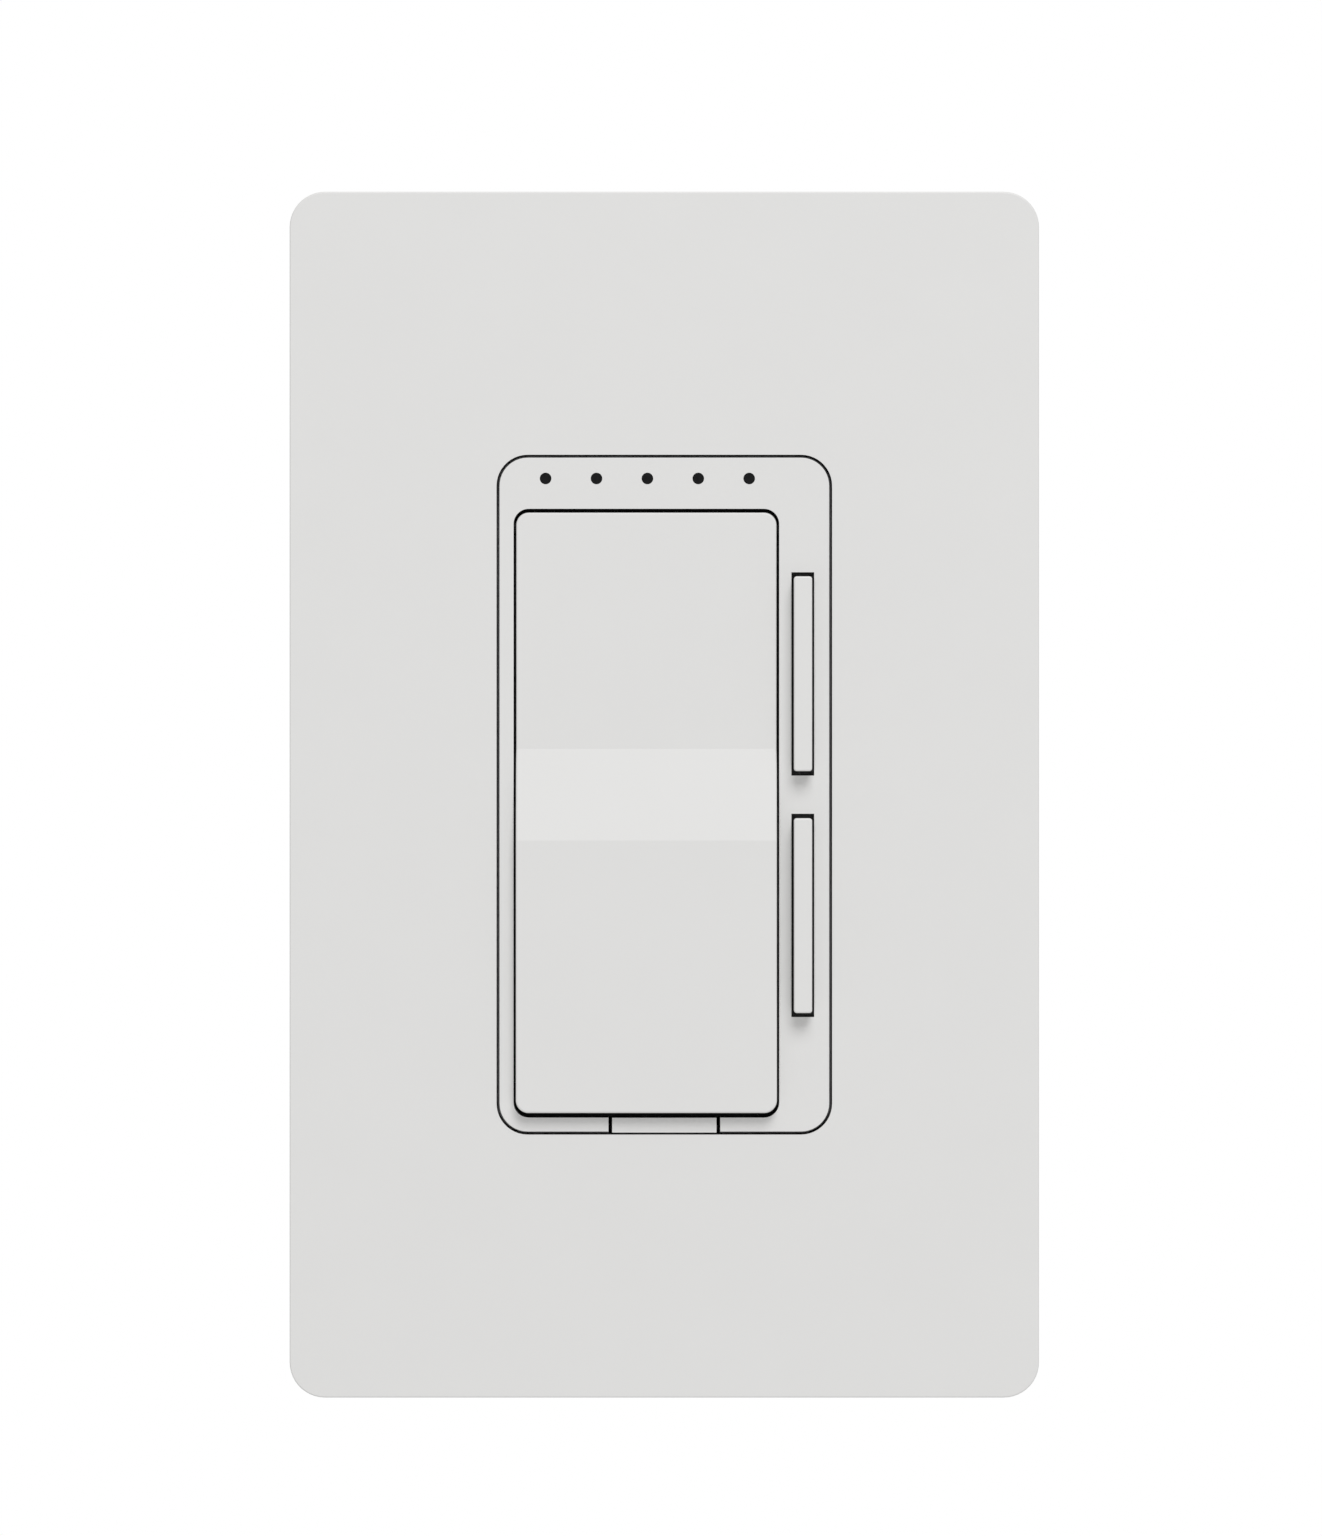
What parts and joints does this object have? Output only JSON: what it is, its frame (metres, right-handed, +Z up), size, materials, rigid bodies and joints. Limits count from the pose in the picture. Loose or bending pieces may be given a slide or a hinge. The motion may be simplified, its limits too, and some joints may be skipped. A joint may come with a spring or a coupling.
{
  "type": "dimmer switch",
  "caption": "In-wall dimmer with a rocking on/off paddle, separate dim-up and dim-down press bars, a row of level lamps and a screwless wall plate.",
  "frame": {"origin": "on the wall's surface, midway between the two box screws", "axes": "+X to the right seen from the room, +Y into the wall, +Z up; the face looks along -Y"},
  "size_m": [0.0742, 0.0372, 0.1194],
  "materials": {
    "white_plastic": "fine satin moulded plastic",
    "frame_plastic": "plain moulded plastic",
    "housing_plastic": "dark moulded plastic",
    "strap_metal": "brushed stamped sheet",
    "zinc_screw": "zinc plated",
    "white_screw": "white painted head",
    "green_screw": "green passivated",
    "brass": "rolled brass",
    "copper": "rolled copper",
    "spring_steel": "drawn wire",
    "fibre": "pressed fibre",
    "smoked_pipe": "smoked light pipe, lamps off",
    "lamp": "clear lamp body",
    "board": "coated circuit board",
    "black_plastic": "black component body",
    "barrier_film": "thin insulating film",
    "insulator_pad": "thin thermal pad",
    "ferrite": "powdered iron core",
    "film_box": "yellow capacitor box",
    "can": "sleeved can",
    "varistor_coat": "dipped coating",
    "fuse_glass": "clear tube with plated caps",
    "resistor_coat": "lacquered body"
  },
  "bodies": {
    "device": {"wallplate_frame": "frame_plastic", "wallplate_screws": "white_screw", "mounting_strap": "strap_metal", "box_screws": "zinc_screw", "screw_retainers": "fibre", "ground_screw": "green_screw", "bezel": "white_plastic", "button_carrier": "black_plastic", "paddle_spring": "spring_steel", "dim_up_springs": "spring_steel", "dim_down_springs": "spring_steel", "light_pipe": "smoked_pipe", "led_row": "lamp", "paddle_switch_body": "black_plastic", "dim_up_switch_body": "black_plastic", "dim_down_switch_body": "black_plastic", "air_gap_contacts": "copper", "control_board": "board", "insulating_barrier": "barrier_film", "microcontroller": "black_plastic", "header_body": "black_plastic", "header_pins": "brass", "triac": "black_plastic", "triac_insulator": "insulator_pad", "triac_screw": "zinc_screw", "power_board": "board", "choke_core": "ferrite", "choke_winding": "copper", "filter_capacitor": "film_box", "bulk_capacitor": "can", "varistor": "varistor_coat", "fuse": "fuse_glass", "resistors": "resistor_coat", "line_terminal": "brass", "load_terminal": "brass", "neutral_terminal": "brass", "traveler_terminal": "brass", "terminal_screws": "zinc_screw", "wire_clamps": "zinc_screw", "rear_housing": "housing_plastic", "housing_screws": "zinc_screw"},
    "wallplate": {"wallplate_cover": "white_plastic"},
    "rocker": {"paddle": "white_plastic"},
    "up_bar": {"dim_up_bar": "white_plastic"},
    "down_bar": {"dim_down_bar": "white_plastic"},
    "air_gap": {"air_gap_slider": "white_plastic", "air_gap_bridge": "copper"},
    "paddle_plunger": {"paddle_switch_plunger": "frame_plastic"},
    "up_plunger": {"dim_up_switch_plunger": "frame_plastic"},
    "down_plunger": {"dim_down_switch_plunger": "frame_plastic"}
  },
  "joints": [
    {"name": "paddle_press", "type": "hinge", "parent": "device", "child": "rocker", "pos_m": [0, -0.005, 0.02654], "axis": [1, 0, 0], "range_deg": [0, 0.7], "stiffness_Nm_per_rad": 2.5, "springref_deg": -0.57, "deforming": ["paddle_spring"]},
    {"name": "dim_up_press", "type": "slide", "parent": "device", "child": "up_bar", "axis": [0, 1, 0], "range_m": [0, 0.0005], "stiffness_N_per_m": 400, "springref_m": -0.001, "deforming": ["dim_up_springs"]},
    {"name": "dim_down_press", "type": "slide", "parent": "device", "child": "down_bar", "axis": [0, 1, 0], "range_m": [0, 0.0005], "stiffness_N_per_m": 400, "springref_m": -0.001, "deforming": ["dim_down_springs"]},
    {"name": "air_gap_pull", "type": "slide", "parent": "device", "child": "air_gap", "axis": [0, -1, 0], "range_m": [0, 0.003]},
    {"name": "paddle_plunger_slide", "type": "slide", "parent": "device", "child": "paddle_plunger", "axis": [0, 1, 0], "range_m": [0, 0.0006]},
    {"name": "up_plunger_slide", "type": "slide", "parent": "device", "child": "up_plunger", "axis": [0, 1, 0], "range_m": [0, 0.0006]},
    {"name": "down_plunger_slide", "type": "slide", "parent": "device", "child": "down_plunger", "axis": [0, 1, 0], "range_m": [0, 0.0006]},
    {"name": "cover_snap_off", "type": "slide", "parent": "device", "child": "wallplate", "axis": [0, -1, 0], "range_m": [0, 0.015]}
  ],
  "couplings": [
    {"joint": "paddle_plunger_slide", "follows": "paddle_press", "m_per_rad": 0.0405},
    {"joint": "up_plunger_slide", "follows": "dim_up_press", "ratio": 1},
    {"joint": "down_plunger_slide", "follows": "dim_down_press", "ratio": 1}
  ]
}
